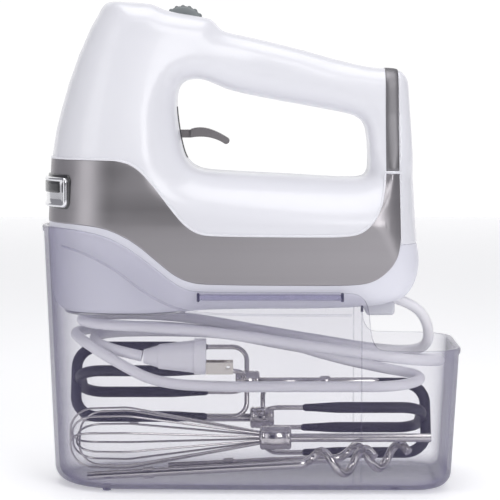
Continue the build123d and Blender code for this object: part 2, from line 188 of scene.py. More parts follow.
def clear_plastic(name, face_on, edge_tint_and_shade, colour, alpha_low, alpha_high):
    """Clear moulding: see-through face on, deeper in colour towards its turned-away edges, where the
    dark is partly the plastic's tint along a longer path and partly painted shade standing in for
    refraction.
    """
    made, tree, shader = material(name, colour, 0.08, Specular_IOR_Level=0.22, Coat_Weight=0.12,
                                  Coat_Roughness=0.03)
    rim = node(tree, "ShaderNodeLayerWeight", {}, {"Blend": 0.5}, "Facing")
    haze = noise(tree, 14.0, (1, 1, 1), 2.0)
    # painted shade and tint: the base colour darkens towards the edges that turn away from the view
    tint(tree, rim ** 1.4, face_on, edge_tint_and_shade).into(shader, "Base Color")
    height = node(tree, "ShaderNodeSeparateXYZ", {}, {"Vector": place(tree)}, "Z")
    deep = node(tree, "ShaderNodeMapRange", {"interpolation_type": "SMOOTHSTEP"},
                {"Value": height, "From Min": 0.012, "From Max": 0.003, "To Min": 0.0, "To Max": 0.12})
    cover = (rim ** 2.4) * (alpha_high - alpha_low) + (haze * 0.04 + (alpha_low - 0.02)) + deep
    cover.into(shader, "Alpha")
    bump(tree, shader, haze, 0.03, 0.001)
    return made


WHITE = moulded("white_plastic", (0.78, 0.78, 0.83), (0.86, 0.86, 0.90), 0.32, coat=0.35)
BASE_WHITE = moulded("base_plastic", (0.74, 0.74, 0.82), (0.82, 0.82, 0.89), 0.36, coat=0.2)
PAD_GREY = moulded("pad_plastic", (0.62, 0.62, 0.68), (0.72, 0.72, 0.77), 0.5, relief=0.15)
KNOB_GREY = moulded("knob_plastic", (0.19, 0.21, 0.215), (0.25, 0.27, 0.275), 0.45, relief=0.2)
TRIGGER_GREY = moulded("trigger_plastic", (0.17, 0.16, 0.165), (0.24, 0.225, 0.23), 0.35, relief=0.1,
                       coat=0.3)
BLACK = moulded("black_plastic", (0.012, 0.012, 0.015), (0.025, 0.025, 0.03), 0.3, coat=0.5)
RUBBER = moulded("black_rubber", (0.014, 0.015, 0.022), (0.03, 0.031, 0.042), 0.5, relief=0.25)
NYLON = moulded("nylon", (0.62, 0.58, 0.46), (0.74, 0.70, 0.58), 0.45)
BOARD = moulded("board", (0.02, 0.13, 0.06), (0.03, 0.2, 0.09), 0.4)
VINYL = moulded("cord_vinyl", (0.82, 0.81, 0.85), (0.93, 0.92, 0.95), 0.38, relief=0.12)
STEEL = brushed("band_steel", (0.32, 0.305, 0.32), (0.47, 0.45, 0.47), 0.38, (0.02, 0.02, 1.0))
TRIM = brushed("trim_steel", (0.17, 0.165, 0.175), (0.33, 0.32, 0.335), 0.5, (1.0, 1.0, 0.02))
TURNED = brushed("turned_steel", (0.35, 0.35, 0.36), (0.55, 0.55, 0.56), 0.3, (1.0, 0.05, 0.05))
WIRE = polished("tool_steel", (0.52, 0.50, 0.49), (0.72, 0.70, 0.69), 0.17)
CHROME = polished("chrome", (0.66, 0.66, 0.69), (0.86, 0.86, 0.88), 0.09)
NICKEL = polished("nickel", (0.55, 0.52, 0.47), (0.72, 0.69, 0.64), 0.2)
COPPER = brushed("copper", (0.35, 0.12, 0.05), (0.60, 0.25, 0.12), 0.35, (0.1, 1, 1))
BRONZE = polished("bronze", (0.32, 0.22, 0.10), (0.45, 0.33, 0.17), 0.3)
IRON = brushed("laminations", (0.06, 0.06, 0.065), (0.12, 0.12, 0.125), 0.4, (1.0, 0.02, 0.02))
CLEAR = clear_plastic("clear_case", (0.28, 0.25, 0.45), (0.03, 0.026, 0.09), (0.2, 0.2, 0.4), 0.075, 1.0)
CLEAR_EDGE = clear_plastic("clear_edge", (0.24, 0.22, 0.42), (0.06, 0.05, 0.14), (0.2, 0.2, 0.4),
                           0.30, 0.92)
# clear_shadow: near-opaque dark clear plastic, used as painted shade at the latch rails' ends and for
# the dark tops of the mould lines
CLEAR_DARK = clear_plastic("clear_shadow", (0.05, 0.045, 0.12), (0.03, 0.025, 0.07), (0.1, 0.1, 0.2),
                           0.7, 0.95)


# ------------------------ mesh helpers
def smooth_step(t):
    t = np.clip(t, 0, 1)
    return t * t * (3 - 2 * t)


def rounded(points, rounds=3, closed=False):
    """Cuts the corners of an outline again and again, which rounds it."""
    line = np.array(points, float)
    for _ in range(rounds):
        ahead = np.roll(line, -1, 0) if closed else line[1:]
        here = line if closed else line[:-1]
        cut = np.stack([0.75 * here + 0.25 * ahead, 0.25 * here + 0.75 * ahead], 1).reshape(-1, 2)
        line = cut if closed else np.concatenate([line[:1], cut, line[-1:]])
    return line


def finished(mesh, finish):
    mesh.polygons.foreach_set("use_smooth", [True] * len(mesh.polygons))
    mesh.materials.append(finish)
    return mesh


def baked(source):
    """The mesh that an object's curve or modifiers come to."""
    return bpy.data.meshes.new_from_object(source.evaluated_get(bpy.context.evaluated_depsgraph_get()))


def new_piece(name, points, faces, finish, body, nodes=()):
    """A mesh in the frame's own place, riding on a body and standing for CAD nodes."""
    mesh = bpy.data.meshes.new(name)
    mesh.from_pydata((np.asarray(points, float) * MM).tolist(), [], [list(f) for f in faces])
    mesh.validate()
    mesh.update()
    piece = in_scene(name, finished(mesh, finish))
    settle(piece, body, nodes)
    return piece


def settle(piece, body, nodes=()):
    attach(piece, body)
    if nodes:
        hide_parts(*nodes)


def grid_faces(rows, columns, wrap_rows=False, wrap_columns=False):
    faces = []
    for r in range(rows if wrap_rows else rows - 1):
        for c in range(columns if wrap_columns else columns - 1):
            r2, c2 = (r + 1) % rows, (c + 1) % columns
            faces.append((r * columns + c, r * columns + c2, r2 * columns + c2, r2 * columns + c))
    return faces


def closed_strip(rows, columns):
    """The faces of a strip whose rows close on themselves, with both its ends filled."""
    faces = grid_faces(rows, columns, wrap_rows=True)
    faces.append([r * columns for r in range(rows)])
    faces.append([(r + 1) * columns - 1 for r in reversed(range(rows))])
    return faces


def outward(piece):
    """Turns every face of a closed mesh outward."""
    work = bmesh.new()
    work.from_mesh(piece.data)
    bmesh.ops.remove_doubles(work, verts=work.verts, dist=1e-6)
    bmesh.ops.recalc_face_normals(work, faces=work.faces)
    work.to_mesh(piece.data)
    work.free()
    return piece


def add_modifier(piece, kind, **settings):
    added = piece.modifiers.new(kind.lower(), kind)
    for name, value in settings.items():
        setattr(added, name, value)


def rounded_block(name, low_corner, high_corner, bevel, finish, body, nodes=()):
    """A block between two corners, in metres, with rounded edges."""
    work = bmesh.new()
    bmesh.ops.create_cube(work, size=1)
    middle = (Vector(low_corner) + Vector(high_corner)) / 2
    size = Vector(high_corner) - Vector(low_corner)
    for v in work.verts:
        v.co = middle + Vector(a * b for a, b in zip(v.co, size))
    bmesh.ops.bevel(work, geom=list(work.edges), offset=bevel, segments=4, profile=0.5, affect="EDGES")
    mesh = bpy.data.meshes.new(name)
    work.to_mesh(mesh)
    work.free()
    piece = in_scene(name, finished(mesh, finish))
    add_modifier(piece, "WEIGHTED_NORMAL", keep_sharp=True)
    settle(piece, body, nodes)


def bent(points, bends, steps=8):
    """A run of straights whose corners are turned into arcs."""
    points = [Vector(p) for p in points]
    line = [points[0]]
    for before, corner, after, radius in zip(points, points[1:], points[2:], bends):
        back, on = (before - corner).normalized(), (after - corner).normalized()
        half = back.angle(on) / 2
        start, end = corner + back * radius / math.tan(half), corner + on * radius / math.tan(half)
        middle = corner + (back + on).normalized() * radius / math.sin(half)
        for t in np.linspace(0, 1, steps):
            spoke = start.lerp(end, t) - middle
            line.append(middle + spoke.normalized() * radius)
    line.append(points[-1])
    return line


def refined(line, step=2.0):
    """The same line with a point at least every step."""
    made = [line[0]]
    for a, b in zip(line, line[1:]):
        count = max(1, round((b - a).length / step))
        made += [a.lerp(b, k / count) for k in range(1, count + 1)]
    return made


def tapered(line, reach, least):
    """How thick each point is: drawn in towards both ends of the line."""
    places = np.cumsum([0] + [(b - a).length for a, b in zip(line, line[1:])])
    near_end = np.minimum(places, places[-1] - places)
    grown = least + (1 - least) * smooth_step(near_end / reach)
    return grown * np.sqrt(np.clip((near_end + 0.5) / 1.6, 0, 1))


def turned(name, start, end, profile, finish, body, nodes=(), sides=40):
    """A turned part about the line from start to end; the profile gives places along it and radii."""
    start, end = Vector(start), Vector(end)
    along = (end - start).normalized()
    side = along.orthogonal().normalized()
    up = along.cross(side)
    points = []
    for place_on, radius in profile:
        for a in np.linspace(0, 2 * math.pi, sides, endpoint=False):
            spoke = side * math.cos(a) + up * math.sin(a)
            points.append(start + along * place_on + spoke * max(radius, 0.01))
    faces = grid_faces(len(profile), sides, wrap_columns=True)
    faces += [list(range(sides)), list(range(sides * (len(profile) - 1), sides * len(profile)))]
    return outward(new_piece(name, points, faces, finish, body, nodes))


def wire_mesh(name, paths, radius, finish, body, nodes=(), sides=6, thickness=None):
    """Round wires along points in millimetres, as one mesh."""
    curve = bpy.data.curves.new(name, "CURVE")
    curve.dimensions = "3D"
    curve.bevel_depth = radius * MM
    curve.bevel_resolution = sides
    curve.use_fill_caps = True
    for index, path in enumerate(paths):
        spline = curve.splines.new("POLY")
        spline.points.add(len(path) - 1)
        for k, (point, (x, y, z)) in enumerate(zip(spline.points, path)):
            point.co = (x * MM, y * MM, z * MM, 1)
            point.radius = 1.0 if thickness is None else float(thickness[index][k])
        spline.use_smooth = True
    source = in_scene(name + "_line", curve)
    mesh = baked(source)
    bpy.data.objects.remove(source)
    mesh.materials.clear()
    settle(in_scene(name, finished(mesh, finish)), body, nodes)


# ------------------------ cord
# The same route as the CAD cord's, in millimetres: heel, rear of the case, then folds left and right.
CORD_D = 0.0065
CORD_ROUTE = [
    (88.0, 0, 112.4), (101.5, 0, 108.3), (109.5, 0, 96.5), (110, 7, 82.0), (98, 24, 76.5),
    (74, 33.5, 77.5), (52, 35, 81), (10, 33.5, 88), (-34, 35, 96), (-68, 33, 99), (-96, 24, 99.2),
    (-106, -2, 99.3), (-91, -26, 98.8), (-60, -30, 98), (-18, -26, 94), (26, -31, 88),
    (66, -28.5, 82), (96, -31, 78), (117, -12, 75), (115, 14, 73), (90, 30, 71.5), (58, 28.5, 73.5),
    (18, 32.5, 80), (-24, 34.5, 88), (-58, 34, 91.2), (-90, 27, 91.5), (-109, 4, 91.5),
    (-102, -23, 89.5), (-80, -32.5, 77), (-56, -31, 64), (-18, -28.5, 61.5), (24, -31, 62),
    (60, -28, 61.5), (87, -31, 62), (105, -12, 63), (103, 12, 64), (82, 23.5, 66), (50, 21, 73.5),
    (14, 22.5, 84.5), (-28, 21, 89), (-62, 10.5, 90.8), (-86, 6.5, 90.6), (-97, -8, 89.5),
    (-88, -24.5, 84.5), (-65, -27, 80),
]


def make_cord():
    curve = bpy.data.curves.new("power_cord_flex", "CURVE")
    curve.dimensions = "3D"
    curve.bevel_depth = CORD_D / 2
    curve.bevel_resolution = 8
    curve.resolution_u = 10
    curve.use_fill_caps = True
    spline = curve.splines.new("NURBS")
    spline.points.add(len(CORD_ROUTE) - 1)
    for point, place_mm in zip(spline.points, CORD_ROUTE):
        point.co = (*(MM * c for c in place_mm), 1)
    spline.order_u = 3
    spline.use_endpoint_u = True
    curve.materials.append(VINYL)
    flex = in_scene("power_cord_flex", curve)
    settle(flex, "mixer", ["power_cord"])


make_cord()


# ------------------------ mixer shape
# One smooth field describes the mixer's skin: a side outline with the hand opening cut through,
# met by sides that are round at the nose, with edges whose radius changes along the body.
SIDE = [(-150, 105), (-46, 105), (-36, 110), (66, 110), (91.5, 115), (99.1, 126), (101.5, 138),
        (99.7, 150), (98.9, 177), (98, 207), (96, 240), (95.5, 246), (90.5, 252.4), (74, 252.6),
        (54.2, 257.2), (28, 264.6), (4.5, 270.3), (-14.5, 274.2), (-18, 276), (-22.5, 281.5),
        (-26, 282.9), (-50, 286.6), (-56, 289.9), (-62, 291.8), (-150, 296)]
HAND_OPENING = [(-44.5, 228), (-44.2, 238), (-41.5, 243.8), (-36, 246.2), (-29, 246.2),
                (-22, 243.6), (-11, 238.7), (18, 233), (52, 226.9), (64, 224.2), (69.6, 219.5),
                (71.6, 210), (72.2, 196), (71, 188.3), (64, 186), (18, 188.8), (-20, 190.4),
                (-31, 191.7), (-38.2, 197), (-41.8, 209)]
NOSE_FRONT = ([105, 125, 160, 198, 215, 227, 243.6, 260.6, 277, 285, 293.3, 300],
              [-120.2, -121.2, -122.5, -120.4, -117.7, -114.7, -109.8, -103.7, -96.4, -91.8, -87.2, -84])
NOSE_WIDTH = ([105, 125, 160, 198, 220, 243, 270, 293], [43.0, 44.0, 45.3, 43.6, 40.2, 35.5, 29.5, 25.5])
REAR_WIDTH = ([105, 125, 160, 180, 200, 225, 252], [44, 45, 45.5, 38, 26, 19.5, 17.8])
TAPER_END = ([105, 165, 215], [88, 88, 8])
EDGE_RADIUS = ([105, 118, 150, 160, 186, 215, 300], [6, 8, 22, 27, 27, 15.5, 13])
LOOKUP_X, LOOKUP_Z, LOOKUP_STEP = (-140.0, 118.0), (92.0, 306.0), 1.0
SKIN_STEP = 2.1                # spacing of the grid that the skin's mesh is read from
RAY_END, RAY_HALVINGS = 75.0, 26


def outline_distance(x, z, outline):
    """Signed distance to a closed outline, negative inside."""
    start = np.asarray(outline)
    run = np.roll(start, -1, 0) - start
    px, pz = x[:, None] - start[:, 0], z[:, None] - start[:, 1]
    along = np.clip((px * run[:, 0] + pz * run[:, 1]) / (run ** 2).sum(1), 0, 1)
    gap = np.hypot(px - along * run[:, 0], pz - along * run[:, 1]).min(1)
    end_z = start[:, 1] + run[:, 1]
    spans = (start[:, 1] > z[:, None]) != (end_z > z[:, None])
    slope = np.where(run[:, 1] == 0, 1e-9, run[:, 1])
    crossing = start[:, 0] + (z[:, None] - start[:, 1]) * run[:, 0] / slope
    inside = (spans & (crossing > x[:, None])).sum(1) % 2 == 1
    return np.where(inside, -gap, gap)


def side_lookup():
    xs = np.arange(*LOOKUP_X, LOOKUP_STEP)
    zs = np.arange(*LOOKUP_Z, LOOKUP_STEP)
    x, z = (a.ravel() for a in np.meshgrid(xs, zs, indexing="ij"))
    outer = outline_distance(x, z, rounded(SIDE, 3, True))
    hole = outline_distance(x, z, rounded(HAND_OPENING, 3, True))
    return np.maximum(outer, -hole).reshape(len(xs), len(zs))


SIDE_DISTANCE = side_lookup()


def read_lookup(x, z):
    u = np.clip((x - LOOKUP_X[0]) / LOOKUP_STEP, 0, SIDE_DISTANCE.shape[0] - 1.001)
    v = np.clip((z - LOOKUP_Z[0]) / LOOKUP_STEP, 0, SIDE_DISTANCE.shape[1] - 1.001)
    i, j = u.astype(int), v.astype(int)
    u, v = u - i, v - j
    near = SIDE_DISTANCE[i, j] * (1 - v) + SIDE_DISTANCE[i, j + 1] * v
    far = SIDE_DISTANCE[i + 1, j] * (1 - v) + SIDE_DISTANCE[i + 1, j + 1] * v
    return near * (1 - u) + far * u


def nose_centre(z):
    return np.interp(z, *NOSE_FRONT) + np.interp(z, *NOSE_WIDTH)


def skin(points):
    """Negative inside the mixer, about a distance in millimetres near its surface."""
    x, y, z = points.T
    profile = read_lookup(x, z)
    nose_w = np.interp(z, *NOSE_WIDTH)
    centre = nose_centre(z)
    end = np.interp(z, *TAPER_END)
    along = smooth_step((x - centre) / (end - centre))
    width = nose_w + (np.interp(z, *REAR_WIDTH) - nose_w) * along
    # the flanks swell a little between nose and heel
    width += 2.6 * np.sin(math.pi * np.clip((x - centre) / 165, 0, 1)) * smooth_step((190 - z) / 30)
    flank = np.where(x < centre, np.hypot(x - centre, y) - nose_w, np.abs(y) - width)
    edge = np.interp(z, *EDGE_RADIUS)
    # the edges of the rear post, the front of the hand opening and the nose's top differ
    edge += (12.3 - edge) * smooth_step((x - 48) / 22) * smooth_step((z - 186) / 18)
    edge += 8 * np.exp(-((x + 50) / 18) ** 2 - ((z - 216) / 24) ** 2)
    edge += (4 - edge) * smooth_step((-66 - x) / 16) * smooth_step((z - 268) / 18)
    over, out = np.maximum(profile + edge, 0), np.maximum(flank + edge, 0)
    return np.minimum(np.maximum(profile, flank), -edge) + np.hypot(over, out)


def surface_net(field, low_corner, high_corner, step):
    """A mesh of four-sided faces where the field changes sign."""
    axes = [np.arange(a, b + step, step) for a, b in zip(low_corner, high_corner)]
    grid = np.stack(np.meshgrid(*axes, indexing="ij"), -1)
    value = field(grid.reshape(-1, 3)).reshape(grid.shape[:3])
    inside = value < 0
    cells = tuple(n - 1 for n in value.shape)
    total, count = np.zeros((*cells, 3)), np.zeros(cells)
    quads = []
    for axis in range(3):
        first, second = [slice(None)] * 3, [slice(None)] * 3
        first[axis], second[axis] = slice(0, -1), slice(1, None)
        first, second = tuple(first), tuple(second)
        crossing = np.argwhere(inside[first] != inside[second])
        others = [i for i in range(3) if i != axis]
        for other in others:
            crossing = crossing[(crossing[:, other] > 0) & (crossing[:, other] < value.shape[other] - 1)]
        where = tuple(crossing.T)
        a, b = value[first][where], value[second][where]
        point = grid[first][where] + (grid[second][where] - grid[first][where]) * (a / (a - b))[:, None]
        corners = []
        for back, across in ((0, 0), (1, 0), (1, 1), (0, 1)):
            cell = crossing.copy()
            cell[:, others[0]] -= back
            cell[:, others[1]] -= across
            np.add.at(total, tuple(cell.T), point)
            np.add.at(count, tuple(cell.T), 1)
            corners.append(np.ravel_multi_index(tuple(cell.T), cells))
        quads.append(np.stack(corners, 1))
    used, faces = np.unique(np.concatenate(quads), return_inverse=True)
    points = total.reshape(-1, 3)[used] / count.reshape(-1)[used][:, None]
    return points, faces.reshape(-1, 4)


def onto_surface(points, times=4):
    """Slides points along the skin's slope until they lie on it."""
    reach = 0.4
    for _ in range(times):
        slope = np.stack([(skin(points + d) - skin(points - d)) / (2 * reach)
                          for d in np.eye(3) * reach], 1)
        length = np.maximum((slope ** 2).sum(1), 0.2)
        move = skin(points)[:, None] * slope / length[:, None]
        points = points - np.clip(move, -1.5, 1.5)
    return points


def reach_surface(origins, ways, level):
    """The place on each ray, from inside outward, where the field has the given level."""
    near, far = np.zeros(len(origins)), np.full(len(origins), RAY_END)
    for _ in range(RAY_HALVINGS):
        middle = (near + far) / 2
        out = skin(origins + ways * middle[:, None]) > level
        near, far = np.where(out, near, middle), np.where(out, middle, far)
    return origins + ways * far[:, None]


BAND_TOP = rounded([(-130, 198.4), (-90, 198.4), (-75.7, 198), (-66, 193.5), (-57, 183.3), (-48.5, 172),
                    (-39.5, 160.7), (-31, 154.8), (-20, 153.6), (30, 153.2), (56, 153.2), (66, 155),
                    (73, 161.5), (78, 170.5), (80.2, 182), (81, 190), (81.2, 198)], 3)
BAND_LOW = rounded([(-130, 160.7), (-112, 160.2), (-96, 159.7), (-82, 157), (-68, 149.5), (-54, 137.6),
                    (-44, 129.5), (-34, 125.6), (-22, 124.8), (30, 124.4), (60, 124.3), (73, 126),
                    (83, 133.5), (88, 142), (89.4, 152), (89.5, 158)], 3)
BAND_END = 89.3
SPLIT_LINE = ([-130, -80, -60, -45, -30, 60, 76, 84, 90], [180, 176, 161, 146, 139, 139, 146, 160, 168])
REAR_SEAM = 148.4
SHELL_WALL = 1.8
SEAM_DEPTH = 0.35              # how far each moulding's border sinks, which shows as a seam
NOSE_X = -115.0
BAND_STEP_X, BAND_STEP_Z = 81, 189.6   # behind this place the band ends level


def make_shell():
    """The white mouldings: both halves, the base and the rear cover, parted along fine seams."""
    points, faces = surface_net(skin, (-128, -53, 100), (106, 53, 299), SKIN_STEP)
    points = onto_surface(points)
    work = bmesh.new()
    verts = [work.verts.new(p) for p in points.tolist()]
    for face in faces.tolist():
        work.faces.new([verts[i] for i in face])
    for spot, way in (((0, 0, 0), (0, 1, 0)), ((BAND_END, 0, 0), (1, 0, 0)),
                      ((0, 0, REAR_SEAM), (0, 0, 1))):
        everything = list(work.verts) + list(work.edges) + list(work.faces)
        bmesh.ops.bisect_plane(work, geom=everything, dist=0.05, plane_co=spot, plane_no=way)
    bmesh.ops.recalc_face_normals(work, faces=work.faces)
    work.verts.index_update()
    work.verts.ensure_lookup_table()
    spots = np.array([v.co[:] for v in work.verts])
    normals = np.array([v.normal[:] for v in work.verts])
    groups = {"housing_left": [], "housing_right": [], "base_housing": [], "rear_cover": []}
    for face in work.faces:
        x, y, z = face.calc_center_median()
        behind = x > BAND_END
        if behind and z > REAR_SEAM:
            key = "rear_cover"
        elif behind or z < np.interp(x, *SPLIT_LINE):
            key = "base_housing"
        else:
            key = "housing_left" if y < 0 else "housing_right"
        groups[key].append([v.index for v in face.verts])
    work.free()
    for name, members in groups.items():
        used, inverse = np.unique(np.concatenate([np.array(m) for m in members]), return_inverse=True)
        sizes = np.cumsum([0] + [len(m) for m in members])
        kept = [inverse[a:b].tolist() for a, b in zip(sizes[:-1], sizes[1:])]
        edges = {}
        for face in kept:
            for pair in zip(face, face[1:] + face[:1]):
                edges[tuple(sorted(pair))] = edges.get(tuple(sorted(pair)), 0) + 1
        rim = sorted({v for pair, n in edges.items() if n == 1 for v in pair})
        place_of = spots[used].copy()
        place_of[rim] -= SEAM_DEPTH * normals[used][rim]
        finish = BASE_WHITE if name == "base_housing" else WHITE
        piece = new_piece(name + "_shell", place_of, kept, finish, "mixer", [name])
        add_modifier(piece, "SOLIDIFY", thickness=SHELL_WALL * MM, offset=-1)


def wrap_rays(z_of, columns):
    """Rays from rear near side, round the nose, to rear far side, at heights that follow x."""
    origins, ways = [], []
    for kind, value in columns:
        if kind == "side":
            x, side = value
            z = z_of(x)
            origins.append((x, 0, z))
            ways.append((0, side, 0))
        else:
            z = z_of(NOSE_X)   # a first guess, then the height where the ray comes out
            z = z_of(float(nose_centre(z) - np.interp(z, *NOSE_WIDTH) * math.cos(value)))
            origins.append((float(nose_centre(z)), 0, z))
            ways.append((-math.cos(value), math.sin(value), 0))
    return np.array(origins, float), np.array(ways, float)


def band_columns(last_x):
    flank = np.concatenate([np.linspace(last_x, 56, 60), np.linspace(54, -22, 16),
                            np.linspace(-24, -73, 40)])
    columns = [("side", (x, -1)) for x in flank]
    columns += [("nose", a) for a in np.radians(np.linspace(-88, 88, 70))]
    columns += [("side", (x, 1)) for x in flank[::-1]]
    return columns


def wrapped_plate(name, z_low, z_high, columns, rise, sink, finish, nodes, rows=16):
    """A thin plate on the mixer's skin between two heights, with rounded edges and a back."""
    edge = 0.5
    steps = [(0, sink, 0), (0, 0.6 * rise, 0), (0, rise, edge)]
    steps += [(t, rise, 0) for t in np.linspace(0.02, 0.98, rows)]
    steps += [(1, rise, -edge), (1, 0.6 * rise, 0), (1, sink, 0)]
    points = []
    for t, level, shift in steps:
        origins, ways = wrap_rays(lambda x: z_low(x) + (z_high(x) - z_low(x)) * t + shift, columns)
        points.append(reach_surface(origins, ways, level))
    faces = closed_strip(len(steps), len(columns))
    outward(new_piece(name, np.concatenate(points), faces, finish, "mixer", nodes))


def make_band():
    low_edge = lambda x: float(np.interp(x, *BAND_LOW.T))
    high_edge = lambda x: float(np.interp(x, *BAND_TOP.T)) if x < BAND_STEP_X else BAND_STEP_Z
    wrapped_plate("steel_band_plate", low_edge, high_edge, band_columns(BAND_END), 0.45, -1.0, STEEL,
                  ["steel_band"])
    origins, ways = wrap_rays(lambda x: high_edge(x) + 0.5, band_columns(BAND_STEP_X - 0.1))
    line = reach_surface(origins, ways, 0.15)
    wire_mesh("band_bead_upper", [line], 0.75, WHITE, "mixer")


def make_base_rim():
    """A bright turned edge round the underside of the bulge that holds the gears."""
    columns = [c for c in band_columns(-36) if c[0] == "nose" or c[1][0] < -38]
    origins, ways = wrap_rays(lambda x: 106.6 + 1.6 * float(smooth_step((x + 66) / 28)), columns)
    line = reach_surface(origins, ways, 0.1)
    wire_mesh("base_rim_bead", [line], 0.95, TURNED, "mixer")


def trim_rays(x):
    """Rays across the rear post at one place along it, up the near side, over and down."""
    middle, count = 236.0, 24
    heights = np.linspace(191.3, middle, count)
    arc = np.radians(np.linspace(180, 0, 27)[1:-1])
    side = [(x, 0, z) for z in heights]
    origins = side + [(x, 0, middle)] * len(arc) + side[::-1]
    ways = [(0, -1, 0)] * count + [(0, math.cos(a), math.sin(a)) for a in arc] + [(0, 1, 0)] * count
    return np.array(origins, float), np.array(ways, float)


def make_divider():
    """The white bar between the steel band and the rear trim."""
    origins = np.array([(x, 0, 190.5) for x in np.linspace(81.0, 89.6, 6)])
    for side, name in ((-1, "near"), (1, "far")):
        line = reach_surface(origins, np.tile((0.0, side, 0.0), (len(origins), 1)), 0.0)
        wire_mesh(f"trim_divider_{name}", [line], 0.95, WHITE, "mixer")


def make_rear_trim():
    stations = [(81.4, -1.0), (81.4, 0.2), (81.9, 0.45), (84, 0.45), (86.6, 0.45), (88.6, 0.45),
                (89.1, 0.2), (89.1, -1.0)]
    points = [reach_surface(*trim_rays(x), level) for x, level in stations]
    faces = closed_strip(len(stations), len(points[0]))
    outward(new_piece("rear_trim_strip", np.concatenate(points), faces, TRIM, "mixer",
                      ["rear_trim"]))


# ------------------------ badge, controls and heel
BADGE_Z, BADGE_TURN_R = 178.0, 46.0


def plate_outline(half_wide, half_tall, corner, steps=6, along=28):
    """A rounded rectangle, as turning distances along and up, with points along its straight runs."""
    half_wide, half_tall = max(half_wide, 0), max(half_tall, 0)
    corner = min(max(corner, 0), half_tall)
    arc = np.linspace(0, math.pi / 2, steps)
    x = half_wide - corner + corner * np.cos(arc)
    z = half_tall - corner + corner * np.sin(arc)
    top = np.linspace(half_wide - corner, 0, along // 2)[1:]
    rise = np.linspace(0, half_tall - corner, 4)[:-1]
    quarter = np.concatenate([np.stack([np.full(3, half_wide), rise], 1), np.stack([x, z], 1),
                              np.stack([top, np.full(len(top), half_tall)], 1)])
    upper = np.concatenate([quarter, quarter[-2::-1] * (-1, 1)])
    return np.concatenate([upper, upper[-2:0:-1] * (1, -1)])


def curved_plate(name, half_wide, middle_z, half_tall, corner, layers, finish, nodes):
    """A rounded plate round the nose; each layer is a radius and how far its edge is drawn in."""
    centre = float(nose_centre(BADGE_Z))
    rings = []
    for radius, inset in layers:
        flat = plate_outline(half_wide - inset, half_tall - inset, corner - inset)
        turn = flat[:, 0] / BADGE_TURN_R
        rings.append(np.stack([centre - radius * np.cos(turn), radius * np.sin(turn),
                               middle_z + flat[:, 1]], 1))
    count = len(rings[0])
    faces = grid_faces(len(rings), count, wrap_columns=True)
    faces.append(list(range(count)))
    return outward(new_piece(name, np.concatenate(rings), faces, finish, "mixer", nodes))


def make_badge():
    bed = [(42.0, 0), (45.3, 0), (45.6, 0.4), (45.6, 4.0), (45.6, 10.4)]
    curved_plate("badge_surround_bed", 38.8, 178.8, 10.4, 4.0, bed, BLACK,
                 ["badge_surround"])
    rim = [(44.0, 0), (46.7, 0), (47.6, 0.5), (47.9, 1.3), (47.7, 2.0), (47.1, 2.5), (47.0, 5.0),
           (47.0, 9.0)]
    curved_plate("badge_frame_rim", 37.2, 178.6, 9.0, 3.0, rim, CHROME, ["badge_frame"])
    panel = [(46.0, 0), (47.4, 0), (47.6, 0.3), (47.6, 1.5), (47.6, 3.3)]
    curved_plate("badge_panel_face", 31.0, 181.6, 3.3, 1.0, panel, BLACK,
                 ["badge_panel"])


def make_trigger_bezel():
    """The dark slot that the eject trigger moves in, lying on the front wall of the hand opening."""
    heights = np.linspace(198.6, 229.4, 24)
    widths = np.linspace(-4.6, 4.6, 9)
    z, y = (a.ravel() for a in np.meshgrid(heights, widths, indexing="ij"))
    start = np.stack([np.full_like(z, -62.0), y, z], 1)
    ahead = np.tile((1.0, 0, 0), (len(z), 1))
    front, back = reach_surface(start, ahead, 0.5), reach_surface(start, ahead, -1.0)
    rows, columns = len(heights), len(widths)
    near_side = grid_faces(rows, columns)
    faces = near_side + [[len(z) + i for i in f[::-1]] for f in near_side]
    border = list(range(columns)) + [r * columns + columns - 1 for r in range(1, rows)]
    border += [(rows - 1) * columns + c for c in range(columns - 2, -1, -1)]
    border += [r * columns for r in range(rows - 2, 0, -1)]
    faces += [(a, b, b + len(z), a + len(z)) for a, b in zip(border, border[1:] + border[:1])]
    outward(new_piece("trigger_slot", np.concatenate([front, back]), faces, BLACK, "mixer",
                      ["trigger_bezel"]))


def make_heel():
    low_pad, high_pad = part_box("heel_pad")
    high_pad = (high_pad[0], high_pad[1], high_pad[2] - 1.0 * MM)
    rounded_block("heel_pad_foot", low_pad, high_pad, 2.2 * MM, PAD_GREY, "mixer",
                  ["heel_pad"])


# ------------------------ storage case
CASE_FLOOR, CASE_TOP, CASE_WALL = 1.0, 158.0, 2.5
CASE_MID_X, CASE_FLANK_Y = -10, 49.4
RIM = rounded([(-140, 158), (-112, 157.8), (-98, 156.4), (-84, 153.2), (-70, 145.5), (-56, 134.5),
               (-46, 126.5), (-38, 122), (-30, 120.8), (20, 120.7), (60, 120.7), (68, 118.5),
               (71.5, 112), (72.8, 104), (74.2, 94), (78, 87.2), (85, 85.7), (140, 85.6)], 3)


def arc_points(x, y, radius, start, end, count):
    return [(x + radius * math.cos(a), y + radius * math.sin(a)) for a in np.linspace(start, end, count)]


def between(start, end, count):
    """Points on the way from one place to another, without the two themselves."""
    run = np.array(end) - start
    return [tuple(np.array(start) + run * t) for t in np.linspace(0, 1, count)[1:-1]]


